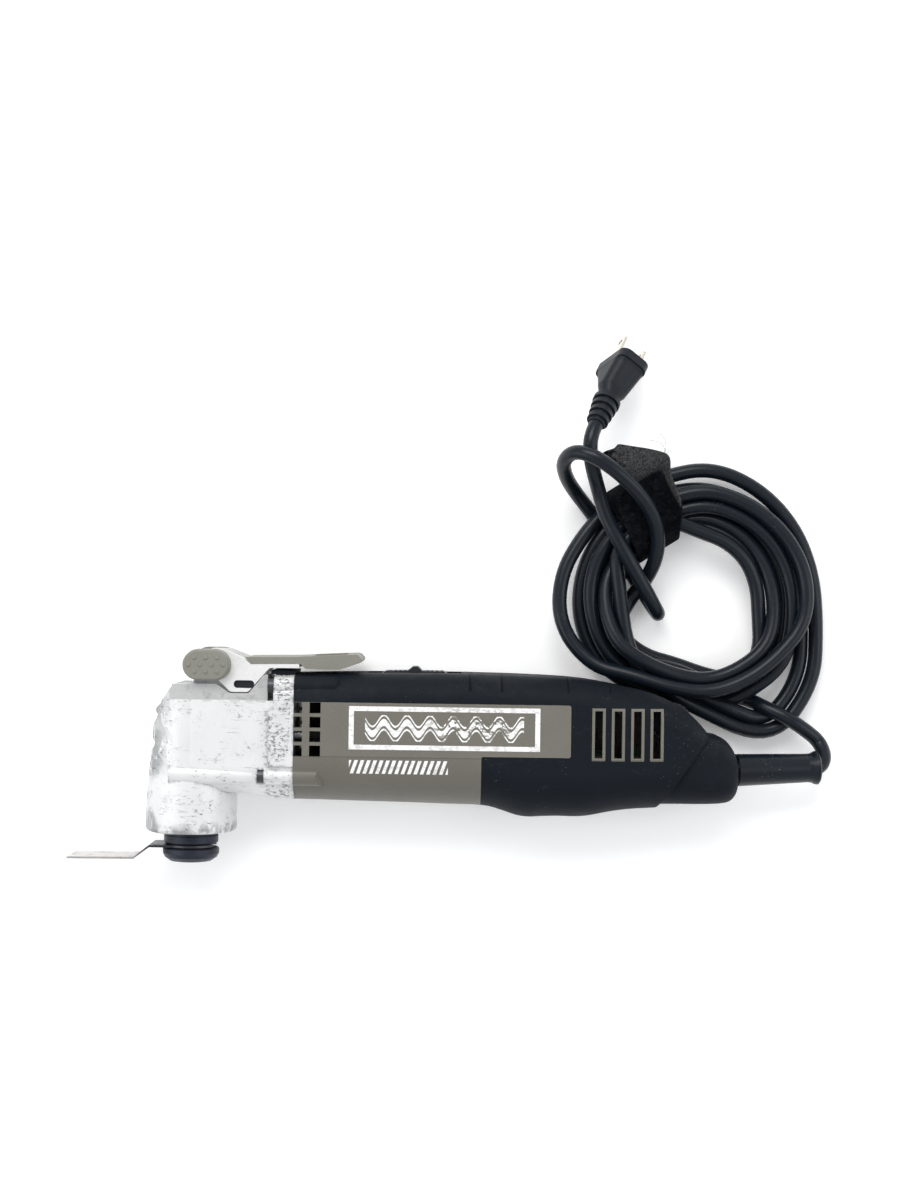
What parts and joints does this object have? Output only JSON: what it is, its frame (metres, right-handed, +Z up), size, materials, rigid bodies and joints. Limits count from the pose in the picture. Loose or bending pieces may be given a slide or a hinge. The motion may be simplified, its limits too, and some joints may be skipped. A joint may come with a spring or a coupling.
{
  "type": "oscillating multi tool",
  "caption": "Corded oscillating multi tool with a stepped saw blade, a lever-released blade clamp, a slide switch and its cord coiled and tied beside it.",
  "frame": {"origin": "centre of the tool's footprint on the surface it lies on, under the middle of its bounding box without the cord, plug and strap", "axes": "+X runs along the motor axis from the blade to the cord end, +Y points from the blade side to the clamp lever, +Z is up through the tool's left side as it lies on its right side"},
  "size_m": [0.3817, 0.2681, 0.057],
  "materials": {
    "grey_plastic": "moulded nylon, fine texture, worn white print on the left side",
    "black_rubber": "moulded-on soft grip, dusty",
    "silver_paint": "silver paint on die-cast aluminium, scuffed along its edges",
    "cover_metal": "silver paint, rubbed",
    "lever_metal": "bright cast metal",
    "lever_plastic": "moulded grey grip",
    "cast_aluminium": "as cast",
    "steel": "ground",
    "dark_steel": "blackened",
    "blade_steel": "dark rolled steel, worn bright at the edge",
    "black_oxide": "black finish",
    "bearing_steel": "polished",
    "lamination_steel": "stacked laminations",
    "copper_wire": "enamelled copper",
    "brass": "drawn",
    "carbon": "pressed carbon",
    "black_plastic": "moulded black nylon",
    "circuit_board": "coated board",
    "cord_rubber": "smooth vinyl and rubber jacket",
    "hook_and_loop": "hook-and-loop strap, black loops with a grey back",
    "plug_vinyl": "moulded vinyl plug",
    "plug_nickel": "nickel-plated brass"
  },
  "bodies": {
    "housing": {"bearing_plate": "cast_aluminium", "brush_holders": "brass", "brush_springs": "steel", "carbon_brushes": "carbon", "cord_clamp": "black_plastic", "cord_coil": "cord_rubber", "cord_end": "cord_rubber", "cord_lead": "cord_rubber", "cord_tie": "hook_and_loop", "cover_screws": "dark_steel", "field_coils": "copper_wire", "front_motor_bearing": "bearing_steel", "gear_case": "silver_paint", "gear_case_screws": "dark_steel", "housing_screws": "steel", "left_grip_rubber": "black_rubber", "left_housing_shell": "grey_plastic", "lower_spindle_bearing": "bearing_steel", "plug_blades": "plug_nickel", "plug_body": "plug_vinyl", "rear_motor_bearing": "bearing_steel", "right_grip_rubber": "black_rubber", "right_housing_shell": "grey_plastic", "speed_control_board": "circuit_board", "spindle_seal": "black_rubber", "stator_core": "lamination_steel", "strain_relief_sleeve": "cord_rubber", "switch_module": "black_plastic", "top_cover": "cover_metal", "upper_spindle_bearing": "bearing_steel"},
    "armature": {"motor_shaft": "steel", "eccentric_bearing": "bearing_steel", "armature_core": "lamination_steel", "armature_windings": "copper_wire", "commutator": "copper_wire", "cooling_fan": "black_plastic"},
    "spindle_unit": {"spindle": "steel", "retaining_ring": "steel", "tool_flange": "black_oxide", "saw_blade": "blade_steel", "fork_arm": "steel", "clamp_springs": "steel"},
    "clamp": {"clamp_pin": "black_oxide", "clamp_nut": "steel"},
    "lever": {"clamp_lever": "lever_metal", "lever_grip": "lever_plastic", "left_lever_pad": "lever_plastic", "right_lever_pad": "lever_plastic", "lever_pivot_pin": "steel"},
    "switch": {"switch_slider": "black_plastic", "switch_rod": "black_plastic"},
    "dial": {"speed_dial": "black_plastic"}
  },
  "joints": [
    {"name": "armature_spin", "type": "hinge", "parent": "housing", "child": "armature", "pos_m": [-0.06, 0.00997, 0.0285], "axis": [1, 0, 0], "continuous": true},
    {"name": "spindle_swing", "type": "hinge", "parent": "housing", "child": "spindle_unit", "pos_m": [-0.1273, -0.02, 0.0285], "axis": [0, 1, 0], "range_deg": [-1.6, 1.6]},
    {"name": "lever_open", "type": "hinge", "parent": "housing", "child": "lever", "pos_m": [-0.1181, 0.04557, 0.0285], "axis": [0, 0, 1], "range_deg": [0, 110]},
    {"name": "clamp_release", "type": "slide", "parent": "spindle_unit", "child": "clamp", "axis": [0, -1, 0], "range_m": [0, 0.003], "deforming": ["clamp_springs"]},
    {"name": "switch_slide", "type": "slide", "parent": "housing", "child": "switch", "axis": [-1, 0, 0], "range_m": [0, 0.006]},
    {"name": "dial_turn", "type": "hinge", "parent": "housing", "child": "dial", "pos_m": [0.112, 0.01918, 0.0285], "axis": [0, 0, 1], "range_deg": [0, 270]}
  ],
  "couplings": [
    {"joint": "clamp_release", "follows": "lever_open", "m_per_rad": 0.00156}
  ]
}
